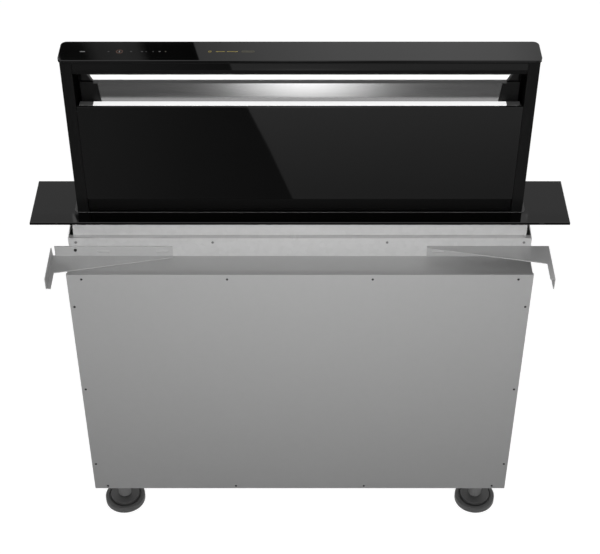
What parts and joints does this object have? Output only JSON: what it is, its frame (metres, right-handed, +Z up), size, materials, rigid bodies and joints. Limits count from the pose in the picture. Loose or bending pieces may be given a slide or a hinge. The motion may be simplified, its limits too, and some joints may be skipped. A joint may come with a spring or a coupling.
{
  "type": "downdraft vent",
  "caption": "Worktop downdraft vent: a black glass column with a lit air slot rises from a steel housing that holds the blower, belt lift and duct outlet.",
  "frame": {"origin": "on the floor under the middle of the part's outline, between the two feet", "axes": "+Z up, the front cover and the air slot face -Y, +X to the right seen from the front"},
  "size_m": [0.922, 0.1974, 1.0643],
  "materials": {
    "bare_aluminium": "natural anodised",
    "black_anodised": "black anodised",
    "black_glass": "polished, opaque black",
    "black_paint": "satin black powder coat",
    "black_plastic": "moulded, fine grain",
    "black_rubber": "matte",
    "cast_motor": "die cast",
    "circuit_board": "solder-masked",
    "dark_screw": "phosphated",
    "galvanised_sheet": "galvanised, skin-passed",
    "grey_plastic": "moulded, satin",
    "leg_plastic": "moulded, fine grain",
    "mesh_metal": "expanded metal",
    "opal_plastic": "opal, satin",
    "steel_baffle": "brushed stainless",
    "white_nylon": "moulded",
    "zinc_steel": "zinc plated"
  },
  "bodies": {
    "housing": {"worktop_plate": "black_glass", "worktop_seal": "black_rubber", "neck_frame": "galvanised_sheet", "shoulder_panel": "galvanised_sheet", "shelf_panel": "galvanised_sheet", "side_panels": "galvanised_sheet", "back_panel": "galvanised_sheet", "bottom_panel": "galvanised_sheet", "front_cover": "galvanised_sheet", "housing_screws": "dark_screw", "guide_rails": "zinc_steel", "blower_posts": "zinc_steel", "scroll_case": "galvanised_sheet", "scroll_cover": "galvanised_sheet", "blower_motor": "cast_motor", "outlet_duct": "galvanised_sheet", "outlet_collar": "black_plastic", "damper_pins": "zinc_steel", "lift_gearmotor": "cast_motor", "lift_bearings": "zinc_steel", "lift_belts": "black_rubber", "control_box": "grey_plastic", "control_box_lid": "grey_plastic", "power_board": "circuit_board", "cable_gland": "black_plastic", "leg_sockets": "leg_plastic"},
    "column": {"column_stiles": "black_anodised", "column_back": "black_paint", "column_skirt": "black_paint", "column_base_frame": "zinc_steel", "header_glass": "black_glass", "header_rail": "black_paint", "cap_glass": "black_glass", "cap_frame": "black_paint", "touch_board": "circuit_board", "light_profiles": "bare_aluminium", "light_diffusers": "opal_plastic", "light_end_caps": "grey_plastic", "led_boards": "circuit_board", "baffle_plate": "steel_baffle", "baffle_ends": "black_plastic", "filter_rail": "black_paint", "filter_frames": "steel_baffle", "filter_meshes": "mesh_metal", "hinge_pins": "zinc_steel", "guide_shoes": "white_nylon", "belt_clamps": "zinc_steel"},
    "front_panel": {"front_glass": "black_glass", "glass_carrier": "black_paint"},
    "lift_shaft": {"lift_shaft": "zinc_steel"},
    "idler_pulleys": {"idler_pulleys": "zinc_steel"},
    "impeller": {"impeller": "black_plastic"},
    "damper_front": {"damper_flap_front": "black_plastic"},
    "damper_rear": {"damper_flap_rear": "black_plastic"},
    "bracket_left": {"bracket_left": "galvanised_sheet", "bracket_screw_left": "dark_screw"},
    "bracket_right": {"bracket_right": "galvanised_sheet", "bracket_screw_right": "dark_screw"},
    "foot_left": {"leg_foot_left": "leg_plastic"},
    "foot_right": {"leg_foot_right": "leg_plastic"}
  },
  "joints": [
    {"name": "column_lift", "type": "slide", "parent": "housing", "child": "column", "axis": [0, 0, 1], "range_m": [-0.3, 0]},
    {"name": "front_panel_tilt", "type": "hinge", "parent": "column", "child": "front_panel", "pos_m": [0, 0.0179, 0.7887], "axis": [1, 0, 0], "range_deg": [0, 30]},
    {"name": "lift_shaft_spin", "type": "hinge", "parent": "housing", "child": "lift_shaft", "pos_m": [0, 0.0737, 0.16], "axis": [1, 0, 0], "range_deg": [-5, 1895]},
    {"name": "idler_spin", "type": "hinge", "parent": "housing", "child": "idler_pulleys", "pos_m": [0, 0.0737, 0.6918], "axis": [1, 0, 0], "range_deg": [-5, 1895]},
    {"name": "impeller_spin", "type": "hinge", "parent": "housing", "child": "impeller", "pos_m": [0, -0.0283, 0.398], "axis": [0, 1, 0], "continuous": true},
    {"name": "damper_front_swing", "type": "hinge", "parent": "housing", "child": "damper_front", "pos_m": [0, 0.0067, 0.146], "axis": [1, 0, 0], "range_deg": [0, 75], "stiffness_Nm_per_rad": 0.02, "springref_deg": -45.84},
    {"name": "damper_rear_swing", "type": "hinge", "parent": "housing", "child": "damper_rear", "pos_m": [0, 0.0147, 0.146], "axis": [1, 0, 0], "range_deg": [-75, 0]},
    {"name": "bracket_left_shift", "type": "slide", "parent": "housing", "child": "bracket_left", "axis": [1, 0, 0], "range_m": [-0.005, 0.005]},
    {"name": "bracket_right_shift", "type": "slide", "parent": "housing", "child": "bracket_right", "axis": [1, 0, 0], "range_m": [-0.005, 0.005]},
    {"name": "foot_left_height", "type": "slide", "parent": "housing", "child": "foot_left", "axis": [0, 0, -1], "range_m": [-0.002, 0.02]},
    {"name": "foot_right_height", "type": "slide", "parent": "housing", "child": "foot_right", "axis": [0, 0, -1], "range_m": [-0.002, 0.02]}
  ],
  "couplings": [
    {"joint": "lift_shaft_spin", "follows": "column_lift", "rad_per_m": -109.89},
    {"joint": "idler_spin", "follows": "column_lift", "rad_per_m": -109.89},
    {"joint": "damper_rear_swing", "follows": "damper_front_swing", "ratio": -1}
  ]
}
